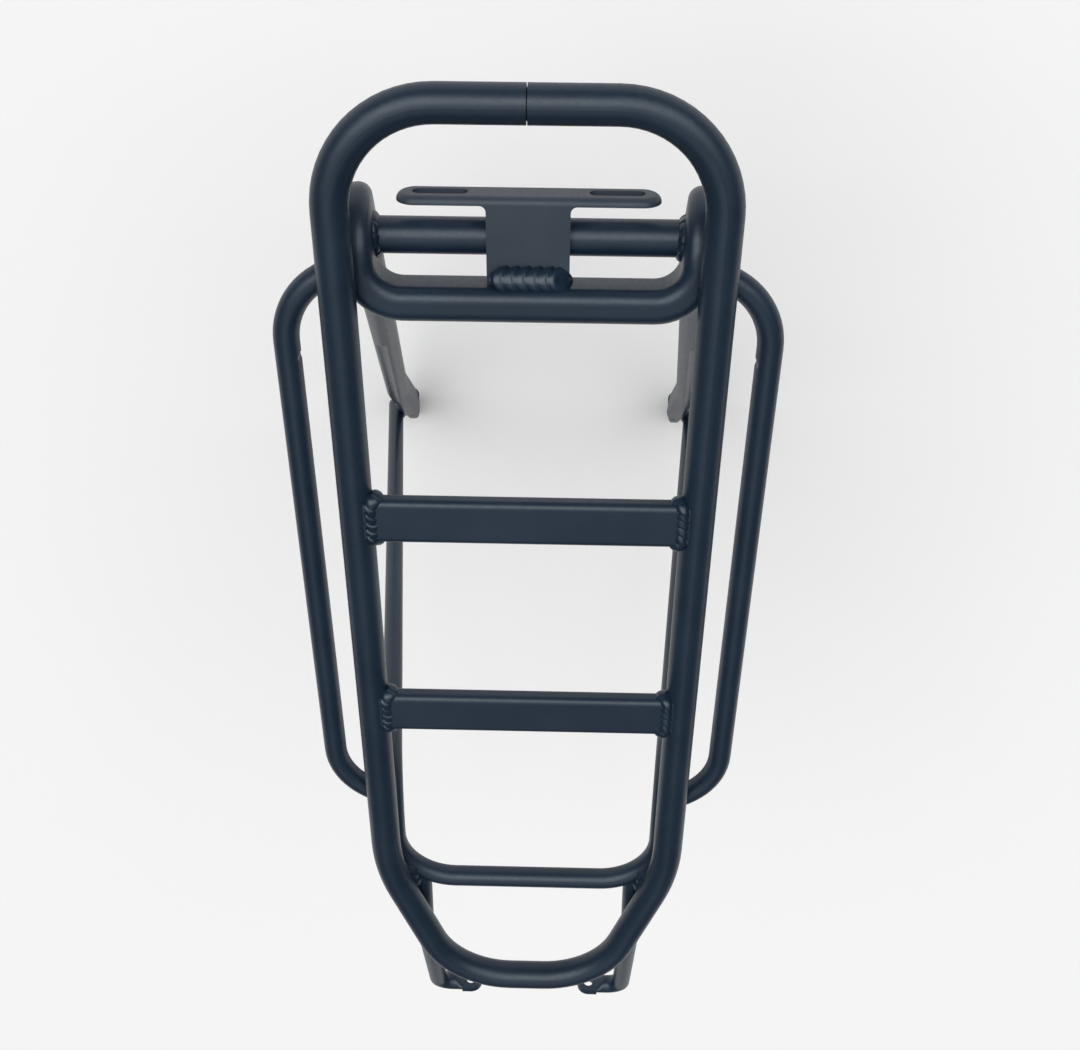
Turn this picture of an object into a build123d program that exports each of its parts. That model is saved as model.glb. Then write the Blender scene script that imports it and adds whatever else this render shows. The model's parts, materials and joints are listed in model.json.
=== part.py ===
from build123d import *
from math import radians, tan
import os

# Bicycle rear carrier: a welded aluminium tube frame.
# Working frame: +X right and +Y forward as seen from behind the bicycle, +Z up, with
# Z = 0 at the mid-plane of the deck. The finished nodes are moved so that the origin
# is the centre of the footprint, at the level of the lowest point of the feet.

# Tubes
MAIN_D = 14.0
MAIN_WALL = 1.5
SMALL_D = 10.2
SMALL_WALL = 1.2
STAY_WIDTH = 13.6
STAY_DEPTH = 20.0
STAY_CORNER = 5.0
STAY_WALL = 2.0
TOUCH_GAP = 0.05
SLIVER = 0.01
MAIN_R = MAIN_D / 2
SMALL_R = SMALL_D / 2

# Deck loop, on tube centrelines
DECK_REAR_Y = -232.8
DECK_FRONT_Y = 223.5
DECK_HALF_WIDTH = 70.0
DECK_NARROW_Y = 141.8
DECK_NARROW_X = 68.7
DECK_NOSE_X = 38.2
DECK_REAR_BEND = 38.5
DECK_NARROW_BEND = 98.0
DECK_NOSE_BEND = 43.0
SEAM_GAP = 0.4
SLEEVE_LENGTH = 40.0
SLEEVE_CLEARANCE = 0.05

# Flat bars across the deck
BAR_WIDTH = 20.4
BAR_HEIGHT = 8.0
BAR_CORNER = 3.0
BAR_WALL = 1.5
BAR_END_X = 69.0
BAR_Z = 2.0
BAR_REAR_Y = -66.2
BAR_FRONT_Y = 36.3

# Rear stay: crossbar under the rails, short runs rearward, then the legs
REAR_STAY_Z = -16.4
REAR_STAY_Y = -154.8
REAR_STAY_X = 64.0
REAR_STAY_TOP_Y = -197.2
REAR_CORNER_BEND = 16.5
REAR_LEG_BEND = 12.3
LEG_KNEE = Vector(95.2, 38.0, -316.0)
LEG_KNEE_BEND = 120.0
EYELET = Vector(94.6, 95.0, -389.0)
LEG_END_BEFORE_EYELET = 24.0

# Rear cross tube between the legs
CROSS_Y = -176.8
CROSS_Z = -24.5
CROSS_END_OVERLAP = 1.0

# Front stay: crossbar under the rails, short runs rearward, then the struts
FRONT_STAY_Z = -(MAIN_R + SMALL_R + TOUCH_GAP)
FRONT_STAY_Y = 161.5
FRONT_STAY_X = 65.9
FRONT_STRUT_Y = 97.0
FRONT_BEND = 29.5
STRUT_FOOT = Vector(105.7, 88.2, -380.5)

# Side rails for pannier hooks
PANNIER_REAR_X = 92.6
PANNIER_FRONT_X = 90.6
PANNIER_Z = -10.0
PANNIER_REAR_Y = -156.5
PANNIER_FRONT_Y = 88.4
PANNIER_END_X = 73.0
PANNIER_END_STEP = 11.5
PANNIER_BEND = 30.0
HOOK_NOTCH_Y = -133.0
HOOK_NOTCH_R = 2.5
HOOK_NOTCH_DEPTH = 0.8

# Front arms with flattened, bored ends
ARM_START = Vector(54.0, 156.0, FRONT_STAY_Z - 0.4)
ARM_KNEE = Vector(54.5, 198.0, FRONT_STAY_Z - 1.5)
ARM_ELBOW = Vector(55.0, 312.0, -62.0)
ARM_KNEE_BEND = 60.0
ARM_ELBOW_BEND = 9.5
ARM_TUBE_END_X = 44.5
ARM_FLAT_START_X = 39.5
ARM_TIP_X = 29.0
ARM_FLAT_WIDTH = 13.0
ARM_FLAT_THICK = 3.2
ARM_FLAT_OVERLAP = 1.0
EYELET_R = 2.75

# Foot plates
FOOT_PLATE_X = 94.6
FOOT_PLATE_THICK = 8.0
FOOT_PLATE_WIDTH = 16.0
FOOT_PLATE_INSERT = 6.0
FOOT_PLATE_ROUNDING = 2.6

# Channel pressed into the upper face of each leg, from part way down to the foot
CHANNEL_R = 5.5
CHANNEL_DEPTH = 1.3
CHANNEL_OUTWARD = 1.6
CHANNEL_TOP_Z = -190.0
CHANNEL_LENGTH = 183.0

# Tail light bracket
BRACKET_THICK = 3.0
BRACKET_OUTER_BEND = 2.8
BRACKET_INNER_BEND = 2.4
BRACKET_STEM_WIDTH = 31.0
BRACKET_HEAD_WIDTH = 97.5
BRACKET_HEAD_HEIGHT = 14.5
BRACKET_REAR_Y = -195.0
BRACKET_TOP_Z = -14.0
SLOT_SPACING = 65.0
SLOT_LENGTH = 20.5
SLOT_WIDTH = 5.5

# Weld beads
BEAD_R = 3.0
COLLAR_RISE = 2.4
COLLAR_TIP_RISE = 0.5
CROSS_COLLAR = 4.5
PANNIER_COLLAR = 5.0
BAR_BEAD_X = 67.0
BAR_BEAD_LENGTH = 10.0
BAR_BEAD_RISE = 1.8
BAR_BEAD_TAPER = 8.0
BRACKET_BEAD_R = 6.0
BRACKET_BEAD_INSET = 0.5
STAY_BEAD_REAR_Y = -188.8
STAY_BEAD_ENDS = ((64.2, -159.8), (70.8, -172.8))
ARM_BEAD = ((58.0, 172.0, -MAIN_R), (55.0, 190.0, -MAIN_R))
FRONT_BEAD_R = 4.0
FRONT_BEAD = ((62.5, 136.0, -8.5), (56.5, 165.0, -8.5))
STRUT_BEAD_R = 3.5
STRUT_BEAD = ((101.5, 90.5, -377.0), (100.5, 86.5, -360.0))

# Leg ends, closed by a domed cap built in two tapering steps
CAP_STEPS = ((2.6, 15.0), (2.2, 48.0))

RIGHT = 1
LEFT = -1


def bent_bar(points, bends, profile, side_dir=None):
    """Carry a profile along straight runs joined by tangent bends, one bend per inner point."""
    points = [Vector(*p) for p in points]
    first_run = points[1] - points[0]
    plane = Plane(origin=points[0], x_dir=side_dir, z_dir=first_run)
    pieces = []
    for corner, after, bend in zip(points[1:-1], points[2:], bends):
        heading = (after - corner).normalized()
        angle = plane.z_dir.get_angle(heading)
        run = (corner - plane.origin).length - bend * tan(radians(angle / 2))
        if run > SLIVER:
            pieces.append(extrude(plane * profile, run))
        start = plane.offset(run)
        normal = plane.z_dir.cross(heading).normalized()
        centre = start.origin + normal.cross(plane.z_dir) * bend
        pieces.append(revolve(start * profile, Axis(centre, normal), angle))
        turn = Axis((0, 0, 0), normal)
        origin = centre + (start.origin - centre).rotate(turn, angle)
        plane = Plane(origin=origin, x_dir=start.x_dir.rotate(turn, angle), z_dir=heading)
    pieces.append(extrude(plane * profile, (points[-1] - plane.origin).length))
    return Part() + pieces


def round_section(diameter, wall=None):
    """Disc, or ring when a wall is given."""
    disc = Circle(diameter / 2)
    return disc if wall is None else disc - Circle(diameter / 2 - wall)


def stay_section(wall=None):
    outer = RectangleRounded(STAY_WIDTH, STAY_DEPTH, STAY_CORNER)
    if wall is None:
        return outer
    inner_width = STAY_WIDTH - 2 * wall
    inner_depth = STAY_DEPTH - 2 * wall
    return outer - RectangleRounded(inner_width, inner_depth, STAY_CORNER - wall)


def mirrored(shape):
    return mirror(shape, about=Plane.YZ)


def side_copy(shape, side):
    return shape if side == RIGHT else mirrored(shape)


def deck_loop(section):
    half = [
        (SEAM_GAP / 2, DECK_REAR_Y, 0),
        (DECK_HALF_WIDTH, DECK_REAR_Y, 0),
        (DECK_NARROW_X, DECK_NARROW_Y, 0),
        (DECK_NOSE_X, DECK_FRONT_Y, 0),
    ]
    other = [(-x, y, z) for x, y, z in reversed(half)]
    bends = [DECK_REAR_BEND, DECK_NARROW_BEND, DECK_NOSE_BEND]
    return bent_bar(half + other, bends + bends[::-1], section)


def joint_sleeve():
    outer = MAIN_R - MAIN_WALL - SLEEVE_CLEARANCE
    ring = Circle(outer) - Circle(outer - MAIN_WALL)
    plane = Plane(origin=(-SLEEVE_LENGTH / 2, DECK_REAR_Y, 0), z_dir=(1, 0, 0))
    return extrude(plane * ring, SLEEVE_LENGTH)


def deck_bar(y, deck):
    plane = Plane(origin=(0, y, BAR_Z), x_dir=(0, 1, 0), z_dir=(1, 0, 0))
    outer = RectangleRounded(BAR_WIDTH, BAR_HEIGHT, BAR_CORNER)
    inner_width = BAR_WIDTH - 2 * BAR_WALL
    inner_height = BAR_HEIGHT - 2 * BAR_WALL
    bore = RectangleRounded(inner_width, inner_height, BAR_CORNER - BAR_WALL)
    return extrude(plane * (outer - bore), BAR_END_X, both=True) - deck


def leg_direction():
    return (EYELET - LEG_KNEE).normalized()


def rear_stay(section):
    """Crossbar and both legs: the right half is built from the middle out, then mirrored."""
    points = [
        (0, REAR_STAY_Y, REAR_STAY_Z),
        (REAR_STAY_X, REAR_STAY_Y, REAR_STAY_Z),
        (REAR_STAY_X, REAR_STAY_TOP_Y, REAR_STAY_Z),
        LEG_KNEE,
        EYELET - leg_direction() * LEG_END_BEFORE_EYELET,
    ]
    bends = [REAR_CORNER_BEND, REAR_LEG_BEND, LEG_KNEE_BEND]
    half = bent_bar(points, bends, section, side_dir=(0, 1, 0))
    return half + mirrored(half)


def leg_channel():
    """Round-bottomed cutter along the upper face of the right leg."""
    top = Vector(REAR_STAY_X, REAR_STAY_TOP_Y, REAR_STAY_Z)
    along = (LEG_KNEE - top).normalized()
    start = top + along * ((CHANNEL_TOP_Z - top.Z) / along.Z)
    face = Vector(0, -along.Z, along.Y).normalized()
    offset = face * (STAY_DEPTH / 2 + CHANNEL_R - CHANNEL_DEPTH)
    plane = Plane(origin=start + offset + Vector(CHANNEL_OUTWARD, 0, 0), z_dir=along)
    return extrude(plane * Circle(CHANNEL_R), CHANNEL_LENGTH)


def front_stay(section):
    half = [
        STRUT_FOOT,
        Vector(FRONT_STAY_X, FRONT_STRUT_Y, FRONT_STAY_Z),
        Vector(FRONT_STAY_X, FRONT_STAY_Y, FRONT_STAY_Z),
    ]
    other = [Vector(-p.X, p.Y, p.Z) for p in reversed(half)]
    return bent_bar(half + other, [FRONT_BEND] * 4, section)


def pannier_ends():
    return [
        (PANNIER_END_X, PANNIER_REAR_Y - PANNIER_END_STEP, PANNIER_Z),
        (PANNIER_END_X, PANNIER_FRONT_Y + PANNIER_END_STEP, PANNIER_Z),
    ]


def pannier_rail(section):
    rear_end, front_end = pannier_ends()
    rear_corner = (PANNIER_REAR_X, PANNIER_REAR_Y, PANNIER_Z)
    front_corner = (PANNIER_FRONT_X, PANNIER_FRONT_Y, PANNIER_Z)
    points = [rear_end, rear_corner, front_corner, front_end]
    return bent_bar(points, [PANNIER_BEND] * 2, section)


def arm_flat_plane(x):
    return Plane(origin=(x, ARM_ELBOW.Y, ARM_ELBOW.Z), x_dir=(0, 0, 1), z_dir=(-1, 0, 0))


def arm_tube(section):
    end = Vector(ARM_TUBE_END_X, ARM_ELBOW.Y, ARM_ELBOW.Z)
    points = [ARM_START, ARM_KNEE, ARM_ELBOW, end]
    return bent_bar(points, [ARM_KNEE_BEND, ARM_ELBOW_BEND], section)


def front_arm():
    """Bent tube whose front end is pressed flat and bored along Y."""
    squeeze = loft([
        arm_flat_plane(ARM_TUBE_END_X) * Circle(SMALL_R),
        arm_flat_plane(ARM_FLAT_START_X) * Ellipse(ARM_FLAT_WIDTH / 2, ARM_FLAT_THICK / 2),
    ])
    hole_x = ARM_TIP_X + ARM_FLAT_WIDTH / 2
    face = Plane(origin=(hole_x, ARM_ELBOW.Y, ARM_ELBOW.Z), x_dir=(1, 0, 0), z_dir=(0, -1, 0))
    reach = ARM_FLAT_START_X + ARM_FLAT_OVERLAP - hole_x
    flat = Circle(ARM_FLAT_WIDTH / 2) + Pos(reach / 2, 0) * Rectangle(reach, ARM_FLAT_WIDTH)
    flat = extrude(face * (flat - Circle(EYELET_R)), ARM_FLAT_THICK / 2, both=True)
    return arm_tube(round_section(SMALL_D, SMALL_WALL)) + squeeze + flat


def foot_plate():
    """Round-ended plate on the leg's line, bored along X for the frame bolt."""
    along = leg_direction()
    flat_dir = Vector(0, along.Y, along.Z).normalized()
    plane = Plane(origin=(FOOT_PLATE_X, EYELET.Y, EYELET.Z), x_dir=flat_dir, z_dir=(1, 0, 0))
    length = LEG_END_BEFORE_EYELET + FOOT_PLATE_INSERT
    shank = Pos(-length / 2, 0) * Rectangle(length, FOOT_PLATE_WIDTH)
    plate = extrude(plane * (Circle(FOOT_PLATE_WIDTH / 2) + shank), FOOT_PLATE_THICK / 2, both=True)
    rims = [edge for face in plate.faces().filter_by(Axis.X) for edge in face.edges()]
    plate = fillet(rims, FOOT_PLATE_ROUNDING)
    return plate - extrude(plane * Circle(EYELET_R), FOOT_PLATE_THICK, both=True)


def leg_cap():
    """Domed weld metal closing the right leg's lower end."""
    along = leg_direction()
    centre = EYELET - along * LEG_END_BEFORE_EYELET
    width, depth, corner = STAY_WIDTH, STAY_DEPTH, STAY_CORNER
    cap = Part()
    for height, taper in CAP_STEPS:
        plane = Plane(origin=centre, x_dir=(0, 1, 0), z_dir=along)
        cap += extrude(plane * RectangleRounded(depth, width, corner), height, taper=taper)
        inset = height * tan(radians(taper))
        width, depth, corner = width - 2 * inset, depth - 2 * inset, corner - inset
        centre += along * height
    return cap


def tail_light_bracket(stay):
    """Stem lying on the cross tube, with a slotted head bent down behind it."""
    stem_length = REAR_STAY_Y - BRACKET_REAR_Y
    stem = Pos(0, BRACKET_REAR_Y + stem_length / 2, BRACKET_TOP_Z - BRACKET_THICK / 2)
    stem = stem * Box(BRACKET_STEM_WIDTH, stem_length, BRACKET_THICK)
    face = Plane(origin=(0, BRACKET_REAR_Y, BRACKET_TOP_Z), x_dir=(1, 0, 0), z_dir=(0, -1, 0))
    ends = BRACKET_HEAD_HEIGHT / 2 - SLIVER
    outline = RectangleRounded(BRACKET_HEAD_WIDTH, BRACKET_HEAD_HEIGHT, ends)
    outline = Pos(0, -BRACKET_HEAD_HEIGHT / 2) * outline
    for side in (LEFT, RIGHT):
        slot_at = Pos(side * SLOT_SPACING / 2, -BRACKET_HEAD_HEIGHT / 2)
        outline -= slot_at * SlotOverall(SLOT_LENGTH, SLOT_WIDTH)
    head = extrude(face * outline, -BRACKET_THICK)
    bracket = stem + head
    corners = [
        edge for edge in bracket.edges().filter_by(Axis.Z)
        if abs(abs(edge.center().X) - BRACKET_STEM_WIDTH / 2) < SLIVER
        and abs(edge.center().Y - BRACKET_REAR_Y - BRACKET_THICK) < SLIVER
    ]
    bracket = fillet(corners, BRACKET_INNER_BEND)
    long_edges = bracket.edges().filter_by(Axis.X)
    outer_bend = long_edges.sort_by(lambda e: e.center().Z - e.center().Y)[-1]
    return fillet(outer_bend, BRACKET_OUTER_BEND) - stay


def bar_beads(y, deck, bar):
    plane = Plane(origin=(BAR_BEAD_X, y, BAR_Z), x_dir=(0, 1, 0), z_dir=(-1, 0, 0))
    width = BAR_WIDTH + 2 * BAR_BEAD_RISE
    height = BAR_HEIGHT + 2 * BAR_BEAD_RISE
    outline = RectangleRounded(width, height, BAR_CORNER)
    ring = extrude(plane * outline, BAR_BEAD_LENGTH, taper=BAR_BEAD_TAPER)
    return both_sides(ring - deck - bar)


def largest(shape):
    return Part(shape.solids().sort_by(SortBy.VOLUME)[-1].wrapped)


def both_sides(shape):
    return Compound([*shape.solids(), *mirrored(shape).solids()])


def collar(origin, direction, branch_r, length, cuts):
    """Ring of weld metal round a branch tube, trimmed by the tubes it joins."""
    plane = Plane(origin=origin, z_dir=direction)
    cone = Cone(branch_r + COLLAR_RISE, branch_r + COLLAR_TIP_RISE, length)
    ring = plane * Pos(0, 0, length / 2) * cone
    for cut in cuts:
        ring = ring - cut
    return ring


def seam_bead(run, radius, cuts):
    """Fillet bead along a line of contact, trimmed by the pieces it joins."""
    bead = bent_bar(run, [], Circle(radius))
    for cut in cuts:
        bead = bead - cut
    return bead


def deck_nodes(deck):
    nodes = {
        "deck_loop_tube": deck_loop(round_section(MAIN_D, MAIN_WALL)),
        "loop_joint_sleeve": joint_sleeve(),
    }
    for name, y in (("rear", BAR_REAR_Y), ("front", BAR_FRONT_Y)):
        core = Pos(0, y, BAR_Z) * Box(2 * DECK_HALF_WIDTH, BAR_WIDTH, BAR_HEIGHT)
        nodes[f"deck_bar_{name}"] = deck_bar(y, deck)
        nodes[f"deck_bar_{name}_welds"] = bar_beads(y, deck, core)
    return nodes


def rear_nodes(deck, stay, pannier):
    """Rear stay, cross tube between the legs, light bracket and their welds."""
    inner_face = REAR_STAY_X - STAY_WIDTH / 2
    end_x = inner_face + CROSS_END_OVERLAP
    cross_ends = [(side * end_x, CROSS_Y, CROSS_Z) for side in (LEFT, RIGHT)]
    cross_rod = bent_bar(cross_ends, [], round_section(MAIN_D))
    bracket = tail_light_bracket(stay)
    nodes = {
        "rear_stay_tube": rear_stay(stay_section(STAY_WALL)) - both_sides(leg_channel()),
        "rear_cross_tube": bent_bar(cross_ends, [], round_section(MAIN_D, MAIN_WALL)) - stay,
        "tail_light_bracket": bracket,
    }
    beads = []
    for x, front_y in STAY_BEAD_ENDS:
        run = [(x, STAY_BEAD_REAR_Y, -MAIN_R), (x, front_y, -MAIN_R)]
        beads += both_sides(seam_bead(run, BEAD_R, [deck, stay, pannier])).solids()
    nodes["rear_stay_welds"] = Compound(beads)
    ring = collar(cross_ends[1], (-1, 0, 0), MAIN_R, CROSS_COLLAR, [cross_rod, stay, bracket])
    nodes["rear_cross_tube_welds"] = both_sides(ring)
    face_y = REAR_STAY_Y - STAY_WIDTH / 2
    half = BRACKET_STEM_WIDTH / 2 - BRACKET_BEAD_INSET
    run = [(-half, face_y, BRACKET_TOP_Z), (half, face_y, BRACKET_TOP_Z)]
    below = Box(2 * BRACKET_STEM_WIDTH, STAY_DEPTH, 2 * STAY_DEPTH)
    below = Pos(0, face_y, BRACKET_TOP_Z - STAY_DEPTH) * below
    nodes["bracket_weld"] = seam_bead(run, BRACKET_BEAD_R, [stay, below])
    return nodes


def side_nodes(deck, stay, struts, pannier, solid_arm):
    """Pannier rails, front arms, foot plates and their welds."""
    notch_x = PANNIER_REAR_X - SMALL_R - HOOK_NOTCH_R + HOOK_NOTCH_DEPTH
    notch = Pos(notch_x, HOOK_NOTCH_Y, PANNIER_Z) * Cylinder(HOOK_NOTCH_R, SMALL_D)
    rail = pannier_rail(round_section(SMALL_D, SMALL_WALL)) - notch - deck
    arm = largest(front_arm() - struts)
    plate = foot_plate() - rear_stay(stay_section(STAY_WALL))
    nodes = {}
    for name, side in (("right", RIGHT), ("left", LEFT)):
        nodes[f"pannier_rail_{name}"] = side_copy(rail, side)
        nodes[f"front_arm_{name}"] = side_copy(arm, side)
        nodes[f"foot_plate_{name}"] = side_copy(plate, side)

    rings = []
    for end, step in zip(pannier_ends(), (PANNIER_END_STEP, -PANNIER_END_STEP)):
        way = (PANNIER_REAR_X - PANNIER_END_X, step, 0)
        ring = collar(end, way, SMALL_R, PANNIER_COLLAR, [deck, pannier, stay, struts])
        rings += both_sides(largest(ring)).solids()
    nodes["pannier_rail_welds"] = Compound(rings)

    nodes["front_arm_welds"] = both_sides(seam_bead(ARM_BEAD, BEAD_R, [deck, solid_arm, struts]))
    cap = leg_cap()
    nodes["foot_plate_welds"] = both_sides(cap - plate - struts)
    bead = seam_bead(STRUT_BEAD, STRUT_BEAD_R, [struts, stay, plate, cap])
    nodes["strut_foot_welds"] = both_sides(bead)
    return nodes


def front_nodes(deck, stay, struts, arm):
    """Front stay and the beads where its crossbar's bends meet the rails."""
    beads = seam_bead(FRONT_BEAD, FRONT_BEAD_R, [deck, struts, arm])
    return {
        "front_stay_tube": front_stay(round_section(SMALL_D, SMALL_WALL)) - stay,
        "front_stay_welds": both_sides(beads),
    }


def build():
    deck = deck_loop(round_section(MAIN_D))
    stay = rear_stay(stay_section())
    struts = front_stay(round_section(SMALL_D))
    pannier = pannier_rail(round_section(SMALL_D))
    arm = arm_tube(round_section(SMALL_D))
    return {
        **deck_nodes(deck),
        **rear_nodes(deck, stay, pannier),
        **front_nodes(deck, stay, struts, arm),
        **side_nodes(deck, stay, struts, pannier, arm),
    }


def export(nodes):
    boxes = [shape.bounding_box() for shape in nodes.values()]
    low_y = min(box.min.Y for box in boxes)
    high_y = max(box.max.Y for box in boxes)
    low_z = min(box.min.Z for box in boxes)
    shift = Pos(0, -(low_y + high_y) / 2, -low_z)
    os.makedirs("parts", exist_ok=True)
    for name, shape in nodes.items():
        export_step(shift * shape, f"parts/{name}.step")
    print("moved by", shift.position)


export(build())
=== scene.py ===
import json
import math

import bpy
from mathutils import Matrix, Vector
from mathutils.bvhtree import BVHTree


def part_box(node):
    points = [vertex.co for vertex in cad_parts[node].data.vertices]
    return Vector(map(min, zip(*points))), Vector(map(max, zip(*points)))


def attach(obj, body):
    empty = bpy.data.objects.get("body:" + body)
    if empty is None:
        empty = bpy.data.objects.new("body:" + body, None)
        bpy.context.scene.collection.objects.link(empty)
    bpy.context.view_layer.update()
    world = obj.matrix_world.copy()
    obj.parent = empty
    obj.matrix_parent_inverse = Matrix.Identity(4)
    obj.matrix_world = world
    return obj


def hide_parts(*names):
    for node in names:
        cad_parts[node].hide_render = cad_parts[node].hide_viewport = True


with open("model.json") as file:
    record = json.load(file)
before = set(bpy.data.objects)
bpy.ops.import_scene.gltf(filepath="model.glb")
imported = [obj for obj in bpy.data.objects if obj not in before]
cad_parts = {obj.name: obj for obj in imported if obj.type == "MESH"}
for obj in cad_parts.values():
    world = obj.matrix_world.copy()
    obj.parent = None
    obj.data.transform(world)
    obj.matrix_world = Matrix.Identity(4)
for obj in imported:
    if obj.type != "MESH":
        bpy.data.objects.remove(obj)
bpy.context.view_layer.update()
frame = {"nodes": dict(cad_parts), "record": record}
MM = 0.001

# Camera: behind and above the deck, looking forward and down
CAMERA_PLACE = Vector((-0.01392, -0.39552, 0.83903))
LOOK_DOWN = 0.984
CAMERA_YAW = -0.016
CAMERA_ROLL = -0.018
CAMERA_LENS = 43.33
SENSOR_WIDTH = 36.0

CLIP_START = 0.01

# Every weld bead is a row of overlapping crescents
RIPPLE_PITCH = 3.5 * MM
WIDE_PITCH = 4.0 * MM
RINGS_PER_RIPPLE = 9
RIPPLE_DEPTH = 0.26
RIPPLE_CURVE = 1.6
RIPPLE_BOW = 0.6
BEAD_SIDES = 18
BEAD_FLATNESS = 0.62
BEAD_END_SIZE = 0.6
SAMPLE_STEP = 0.25 * MM
FEWEST_SAMPLES = 8
SMOOTHING_ROUNDS = 6
TANGENT_REACH = 3
TINY = 1e-9

# Probes from inside a branch tube find the line where it meets its host
PROBE_START = 20 * MM
PANNIER_PROBE_START = 6 * MM
PROBE_REACH = 40 * MM
RIM_INSET = 0.2 * MM
CORNER_POINTS = 8
RIM_POINTS = 48

BAR_BEAD = 3.8 * MM
BAR_BEAD_LIFT = 0.6 * MM
BAR_BEAD_BACK = 1.6 * MM
BAR_BEAD_INSET = 1.0 * MM
BAR_BEAD_SINK = 1.75 * MM
BAR_BEAD_LEAN = 0.45
BAR_CORNER = 2.0 * MM
CROSS_BEAD = 2.8 * MM
PANNIER_BEAD = 2.4 * MM
PANNIER_END_WAY = (15.6, 9.2)
SEAM_BEAD = 3.4 * MM
FRONT_BEAD = 5.4 * MM
FRONT_BEAD_TRIM = 7.0 * MM
FRONT_BEAD_SHIFT = (-1.2 * MM, 0.4 * MM)
BRACKET_BEAD = 5.2 * MM
BRACKET_BEAD_BACK = 4.3 * MM
BRACKET_BEAD_LIFT = 2.2 * MM
BRACKET_BEAD_LEAN = (0, -0.45, 0.9)
BRACKET_BEAD_TRIM = (1.2 * MM, 3.4 * MM)

# Coats: colour pairs, and the scales and strengths of the noise that breaks them up
COAT = (0.004, 0.013, 0.028)
COAT_WORN = (0.008, 0.019, 0.037)
PLATE_COAT = (0.022, 0.032, 0.046)
PLATE_COAT_WORN = (0.029, 0.040, 0.055)
# Painted shade: the sleeve seen in the seam gaps is near black, standing in for the shade inside
# each seam
SEAM_SHADE_COAT = (0.004, 0.005, 0.007)
SEAM_SHADE_COAT_WORN = (0.006, 0.008, 0.010)
COOL_SHINE = (0.88, 0.96, 1.0, 1.0)
NOISE_ROUGHNESS = 0.6
NOISE_LOW = 0.3
NOISE_HIGH = 0.7
CLOUD_SCALE = 35.0
CLOUD_DETAIL = 3.0
FINE_DETAIL = 2.0
SAND_RATIO = 4.0
PEEL_STRENGTH = 0.35
SAND_STRENGTH = 0.2
SAND_DEPTH = 0.3

# Studio: wide, soft lights high up on both sides, and a weak one in front
FLOOR_REACH = 6.0
FLOOR_SHADE = 0.86
FLOOR_ROUGHNESS = 0.9
WORLD_STRENGTH = 0.12
LIGHTS = {
    "left_light": {"source": (0.42, -0.45, 1.0), "spread": 48.0, "strength": 1.9},
    "right_light": {"source": (-0.42, -0.55, 1.0), "spread": 48.0, "strength": 1.38},
    "front_light": {"source": (0.1, 0.45, 1.0), "spread": 40.0, "strength": 0.25},
}


# Materials

def node(tree, kind, **values):
    made = tree.nodes.new(kind)
    for name, value in values.items():
        if name in made.inputs:
            made.inputs[name].default_value = value
        else:
            setattr(made, name, value)
    return made


def noise(tree, place, scale, detail):
    made = node(tree, "ShaderNodeTexNoise", Scale=scale, Detail=detail)
    made.inputs["Roughness"].default_value = NOISE_ROUGHNESS
    tree.links.new(place, made.inputs["Vector"])
    return made.outputs["Fac"]


def spread(tree, value, low, high):
    """Stretch the middle of a noise over low to high."""
    made = node(tree, "ShaderNodeMapRange")
    made.inputs["From Min"].default_value = NOISE_LOW
    made.inputs["From Max"].default_value = NOISE_HIGH
    made.inputs["To Min"].default_value = low
    made.inputs["To Max"].default_value = high
    tree.links.new(value, made.inputs["Value"])
    return made.outputs["Result"]


def grain(tree, height, strength, distance, below=None):
    made = node(tree, "ShaderNodeBump", Strength=strength, Distance=distance)
    tree.links.new(height, made.inputs["Height"])
    if below is not None:
        tree.links.new(below, made.inputs["Normal"])
    return made.outputs["Normal"]


def finish_material(name, colours, rough, shine, fine_scale, depth):
    """Coat with mottled colour, uneven gloss, an orange-peel skin and a finer grain."""
    material = bpy.data.materials.new(name)
    material.use_nodes = True
    tree = material.node_tree
    shader = tree.nodes["Principled BSDF"]
    shader.inputs["Specular IOR Level"].default_value = shine
    shader.inputs["Specular Tint"].default_value = COOL_SHINE
    place = node(tree, "ShaderNodeTexCoord").outputs["Object"]
    cloudy = noise(tree, place, CLOUD_SCALE, CLOUD_DETAIL)
    peel = noise(tree, place, fine_scale, FINE_DETAIL)
    sand = noise(tree, place, fine_scale * SAND_RATIO, FINE_DETAIL)
    mix = node(tree, "ShaderNodeMix", data_type="RGBA")
    mix.inputs["A"].default_value = (*colours[0], 1.0)
    mix.inputs["B"].default_value = (*colours[1], 1.0)
    tree.links.new(spread(tree, cloudy, 0.0, 1.0), mix.inputs["Factor"])
    tree.links.new(mix.outputs["Result"], shader.inputs["Base Color"])
    tree.links.new(spread(tree, peel, *rough), shader.inputs["Roughness"])
    skin = grain(tree, peel, PEEL_STRENGTH, depth)
    skin = grain(tree, sand, SAND_STRENGTH, depth * SAND_DEPTH, skin)
    tree.links.new(skin, shader.inputs["Normal"])
    return material


def paint(piece, material):
    piece.data.materials.clear()
    piece.data.materials.append(material)


# Rippled weld beads

def surface_of(name):
    cad = frame["nodes"][name]
    corners = [v.co.copy() for v in cad.data.vertices]
    faces = [tuple(p.vertices) for p in cad.data.polygons]
    return BVHTree.FromPolygons(corners, faces)


def side_box(name, side):
    """Lowest and highest corner of the half of a CAD node on one side of the middle plane."""
    points = [v.co for v in frame["nodes"][name].data.vertices if v.co.x * side > 0]
    low = Vector(min(p[i] for p in points) for i in range(3))
    high = Vector(max(p[i] for p in points) for i in range(3))
    return low, high


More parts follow.
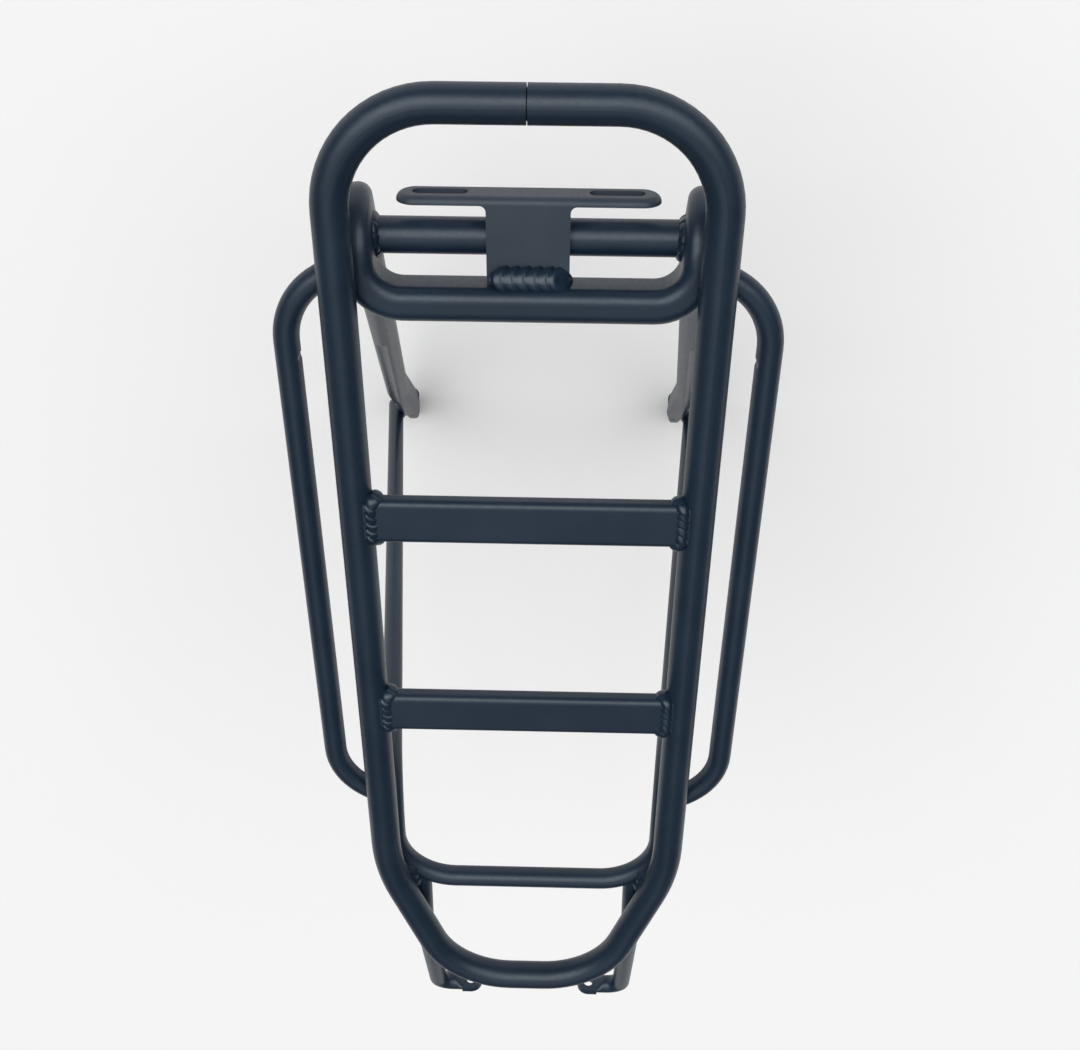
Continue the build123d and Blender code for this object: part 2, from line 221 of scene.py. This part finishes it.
def resample(points, closed):
    """The same line as evenly spaced points."""
    if closed:
        points = points + points[:1]
    marks = [0.0]
    for a, b in zip(points, points[1:]):
        marks.append(marks[-1] + (b - a).length)
    count = max(FEWEST_SAMPLES, round(marks[-1] / SAMPLE_STEP))
    steps, leg = [], 0
    for i in range(count if closed else count + 1):
        at = marks[-1] * i / count
        while leg < len(marks) - 2 and marks[leg + 1] < at:
            leg += 1
        span = max(marks[leg + 1] - marks[leg], TINY)
        steps.append(points[leg].lerp(points[leg + 1], (at - marks[leg]) / span))
    return steps, marks[-1]


def smooth(points, closed):
    for _ in range(SMOOTHING_ROUNDS):
        last = len(points) - 1
        points = [
            p if not closed and i in (0, last)
            else (points[i - 1] + p * 2 + points[(i + 1) % len(points)]) / 4
            for i, p in enumerate(points)
        ]
    return points


def bead_ring(here, way, out, radius, size):
    """One ring of a bead, bowed forward at its crown."""
    out = (out - way * out.dot(way)).normalized()
    across = way.cross(out)
    ring = []
    for j in range(BEAD_SIDES):
        turn = 2 * math.pi * j / BEAD_SIDES
        bow = way * (radius * RIPPLE_BOW * math.cos(turn))
        rise = out * (math.cos(turn) * BEAD_FLATNESS)
        ring.append(here + bow + (rise + across * math.sin(turn)) * size)
    return ring


def tangent(line, k, closed):
    last = len(line) - 1
    if closed:
        ahead, behind = line[(k + TANGENT_REACH) % len(line)], line[k - TANGENT_REACH]
    else:
        ahead, behind = line[min(k + TANGENT_REACH, last)], line[max(k - TANGENT_REACH, 0)]
    return (ahead - behind).normalized()


def bead(points, up, radius, closed=False, pitch=RIPPLE_PITCH):
    """Corners and faces of a bead of overlapping crescents. up(point) is its free side."""
    rough, _ = resample(points, closed)
    line, length = resample(smooth(rough, closed), closed)
    rings = max(2, round(length / pitch)) * RINGS_PER_RIPPLE
    corners, faces = [], []
    for i in range(rings if closed else rings + 1):
        at = i / rings * (len(line) if closed else len(line) - 1)
        k = min(int(at), len(line) - 1)
        phase = (i % RINGS_PER_RIPPLE) / RINGS_PER_RIPPLE
        size = radius * (1.0 - RIPPLE_DEPTH * phase ** RIPPLE_CURVE)
        if not closed:
            size *= min(1.0, BEAD_END_SIZE + min(i, rings - i) / RINGS_PER_RIPPLE)
        corners += bead_ring(line[k], tangent(line, k, closed), up(line[k]), radius, size)
    for i in range(rings):
        for j in range(BEAD_SIDES):
            a, b = i * BEAD_SIDES + j, i * BEAD_SIDES + (j + 1) % BEAD_SIDES
            c, d = (b + BEAD_SIDES) % len(corners), (a + BEAD_SIDES) % len(corners)
            faces.append((a, b, c, d))
    if not closed:
        faces.append(tuple(range(BEAD_SIDES))[::-1])
        faces.append(tuple(range(rings * BEAD_SIDES, (rings + 1) * BEAD_SIDES)))
    return corners, faces


def weld_piece(name, cad_node, beads):
    """One mesh with all the beads of a CAD weld node, standing in for it."""
    corners, faces = [], []
    for points, some in beads:
        faces += [tuple(k + len(corners) for k in f) for f in some]
        corners += points
    mesh = bpy.data.meshes.new(name)
    mesh.from_pydata(corners, [], faces)
    mesh.validate()
    mesh.polygons.foreach_set("use_smooth", [True] * len(mesh.polygons))
    piece = bpy.data.objects.new(name, mesh)
    bpy.context.scene.collection.objects.link(piece)
    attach(piece, "root")
    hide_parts(cad_node)
    paint(piece, WELD)
    return piece


def ring_on(host, centre, way, outline):
    """Where rays along a branch's sides meet the host, for a closed bead round the branch."""
    side_a = way.cross(Vector((0, 0, 1))).normalized()
    side_b = side_a.cross(way).normalized()
    points = []
    for u, v in outline:
        start = centre + side_a * u + side_b * v
        hit = host.ray_cast(start, way, PROBE_REACH)[0]
        if hit is not None:
            points.append(hit)
    return points


def circle(radius):
    turns = [2 * math.pi * i / RIM_POINTS for i in range(RIM_POINTS)]
    return [(radius * math.cos(t), radius * math.sin(t)) for t in turns]


def rounded_box(half_a, half_b, corner):
    outline = []
    for quarter, (sa, sb) in enumerate(((1, 1), (-1, 1), (-1, -1), (1, -1))):
        for i in range(CORNER_POINTS + 1):
            turn = math.pi / 2 * (quarter + i / CORNER_POINTS)
            a = sa * (half_a - corner) + corner * math.cos(turn)
            b = sb * (half_b - corner) + corner * math.sin(turn)
            outline.append((a, b))
    return outline


def away_from(axis_point, way, lean):
    """Free side of a bead round a branch: away from its axis, leaning back from the host."""
    def up(point):
        arm = point - axis_point
        arm -= way * arm.dot(way)
        return (arm.normalized() - way * lean).normalized()
    return up


def branch_bead(host, centre, way, outline, radius, lift=0.0, back=0.0, lean=1.0):
    way = way.normalized()
    up = away_from(centre, way, lean)
    ring = [p + up(p) * lift - way * back for p in ring_on(host, centre, way, outline)]
    return bead(ring, up, radius, True)


def bar_welds(name, deck):
    low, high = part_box(name)
    middle = (low + high) / 2
    half = (high - low) / 2
    outline = rounded_box(half.y - BAR_BEAD_INSET, half.z - BAR_BEAD_SINK, BAR_CORNER)
    beads = []
    for side in (1, -1):
        start = Vector((side * (high.x - PROBE_START), middle.y, middle.z))
        way = Vector((side, 0, 0))
        shape = (BAR_BEAD, BAR_BEAD_LIFT, BAR_BEAD_BACK, BAR_BEAD_LEAN)
        beads.append(branch_bead(deck, start, way, outline, *shape))
    return weld_piece(f"{name}_beads", f"{name}_welds", beads)


def cross_tube_welds(stay):
    low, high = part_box("rear_cross_tube")
    middle = (low + high) / 2
    beads = []
    for side in (1, -1):
        start = Vector((side * (high.x - PROBE_START), middle.y, middle.z))
        outline = circle((high.z - low.z) / 2 - RIM_INSET)
        beads.append(branch_bead(stay, start, Vector((side, 0, 0)), outline, CROSS_BEAD))
    return weld_piece("rear_cross_tube_beads", "rear_cross_tube_welds", beads)


def pannier_welds(deck):
    beads = []
    for name, side in (("pannier_rail_right", 1), ("pannier_rail_left", -1)):
        low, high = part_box(name)
        radius = (high.z - low.z) / 2
        level = (high.z + low.z) / 2
        inner = min(abs(low.x), abs(high.x))
        for y, step in ((low.y + radius, 1), (high.y - radius, -1)):
            sideways, along = PANNIER_END_WAY
            way = Vector((-side * sideways, -step * along, 0)).normalized()
            start = Vector((side * inner, y, level)) - way * PANNIER_PROBE_START
            rim = circle(radius - RIM_INSET)
            beads.append(branch_bead(deck, start, way, rim, PANNIER_BEAD))
    return weld_piece("pannier_rail_beads", "pannier_rail_welds", beads)


def straight_welds(name, cad_node, radius, lean, pitch=RIPPLE_PITCH, trim=0.0, shift=(0, 0)):
    """Open beads along the long way of each side's CAD weld."""
    beads = []
    for side in (1, -1):
        low, high = side_box(cad_node, side)
        middle = (low + high) / 2
        inset = min((high.x - low.x) / 2, radius)
        near, far = (high.x, low.x) if side > 0 else (low.x, high.x)
        aside, level = side * shift[0], middle.z + shift[1]
        start = Vector((near - side * inset + aside, low.y + inset + trim, level))
        end = Vector((far + side * inset + aside, high.y - inset, level))
        out = Vector((side * lean[0], lean[1], lean[2]))
        beads.append(bead([start, end], lambda p, out=out: out, radius, False, pitch))
    return weld_piece(name, cad_node, beads)


def bracket_welds():
    low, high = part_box("bracket_weld")
    place = (high.y - BRACKET_BEAD_BACK, low.z + BRACKET_BEAD_LIFT)
    near, far = BRACKET_BEAD_TRIM
    run = [Vector((x, *place)) for x in (low.x + near, high.x - far)]
    out = Vector(BRACKET_BEAD_LEAN)
    made = bead(run, lambda p: out, BRACKET_BEAD, False, WIDE_PITCH)
    return weld_piece("bracket_beads", "bracket_weld", [made])


def repaint():
    # The sleeve slot gets the near-black painted seam shade
    coats = {"sleeve_coat": SEAM_SHADE_SLEEVE, "bracket_coat": PLATE, "frame_coat": POWDER, "weld_coat": WELD}
    for part in frame["record"]["subparts"]:
        cad = frame["nodes"][part["node"]]
        paint(cad, coats[part["material_slot"]])


# Studio

def floor():
    mesh = bpy.data.meshes.new("floor")
    reach = FLOOR_REACH
    corners = [(-reach, -reach, 0), (reach, -reach, 0), (reach, reach, 0), (-reach, reach, 0)]
    mesh.from_pydata(corners, [], [(0, 1, 2, 3)])
    made = bpy.data.objects.new("floor", mesh)
    bpy.context.scene.collection.objects.link(made)
    material = bpy.data.materials.new("pale_floor")
    material.use_nodes = True
    shader = material.node_tree.nodes["Principled BSDF"]
    shader.inputs["Base Color"].default_value = (FLOOR_SHADE, FLOOR_SHADE, FLOOR_SHADE, 1.0)
    shader.inputs["Roughness"].default_value = FLOOR_ROUGHNESS
    paint(made, material)


def soft_light(name, source, spread, strength):
    """Even light from a wide disc of the sky, spread degrees across."""
    light = bpy.data.lights.new(name, "SUN")
    light.angle = math.radians(spread)
    light.energy = strength
    made = bpy.data.objects.new(name, light)
    made.rotation_mode = "QUATERNION"
    made.rotation_quaternion = Vector(source).to_track_quat("Z", "Y")
    bpy.context.scene.collection.objects.link(made)


def studio():
    world = bpy.data.worlds.new("studio")
    world.use_nodes = True
    sky = world.node_tree.nodes["Background"]
    sky.inputs["Color"].default_value = (1.0, 1.0, 1.0, 1.0)
    sky.inputs["Strength"].default_value = WORLD_STRENGTH
    bpy.context.scene.world = world
    for name, values in LIGHTS.items():
        soft_light(name, **values)
    bpy.context.scene.view_settings.view_transform = "Standard"


def camera():
    down, turn, tilt = LOOK_DOWN, CAMERA_YAW, CAMERA_ROLL
    view = Vector((0, math.cos(down), -math.sin(down)))
    below = Vector((0, math.sin(down), math.cos(down)))
    right = Vector((-1, 0, 0))
    ahead = view * math.cos(turn) + right * math.sin(turn)
    side = right * math.cos(turn) - view * math.sin(turn)
    side, below = (
        side * math.cos(tilt) + below * math.sin(tilt),
        below * math.cos(tilt) - side * math.sin(tilt),
    )
    lens = bpy.data.cameras.new("camera")
    lens.lens = CAMERA_LENS
    lens.sensor_width = SENSOR_WIDTH
    lens.clip_start = CLIP_START
    made = bpy.data.objects.new("camera", lens)
    facing = Matrix((side, -below, -ahead)).transposed().to_4x4()
    made.matrix_world = Matrix.Translation(CAMERA_PLACE) @ facing
    bpy.context.scene.collection.objects.link(made)
    bpy.context.scene.camera = made


POWDER = finish_material(
    "powder_coat", (COAT, COAT_WORN),
    rough=(0.36, 0.46), shine=0.5, fine_scale=700.0, depth=0.10 * MM,
)
WELD = finish_material(
    "coated_weld", (COAT, COAT_WORN),
    rough=(0.28, 0.38), shine=0.5, fine_scale=900.0, depth=0.12 * MM,
)
PLATE = finish_material(
    "coated_plate", (PLATE_COAT, PLATE_COAT_WORN),
    rough=(0.42, 0.52), shine=0.4, fine_scale=800.0, depth=0.08 * MM,
)
# Painted shade: the sleeve is near black so every seam reads as a dark line
SEAM_SHADE_SLEEVE = finish_material(
    "seam_shade_sleeve", (SEAM_SHADE_COAT, SEAM_SHADE_COAT_WORN),
    rough=(0.5, 0.6), shine=0.2, fine_scale=500.0, depth=0.05 * MM,
)

repaint()
DECK = surface_of("deck_loop_tube")
STAY = surface_of("rear_stay_tube")
for bar in ("deck_bar_rear", "deck_bar_front"):
    bar_welds(bar, DECK)
cross_tube_welds(STAY)
pannier_welds(DECK)
bracket_welds()
straight_welds("rear_stay_beads", "rear_stay_welds", SEAM_BEAD, (-1, 0, 0.4))
FRONT_LINE = (WIDE_PITCH, FRONT_BEAD_TRIM, FRONT_BEAD_SHIFT)
straight_welds("front_stay_beads", "front_stay_welds", FRONT_BEAD, (-1, 0, 0.6), *FRONT_LINE)
straight_welds("front_arm_beads", "front_arm_welds", SEAM_BEAD, (1, 0, -0.4))
straight_welds("strut_foot_beads", "strut_foot_welds", SEAM_BEAD, (-0.3, 1, 0))
floor()
studio()
camera()
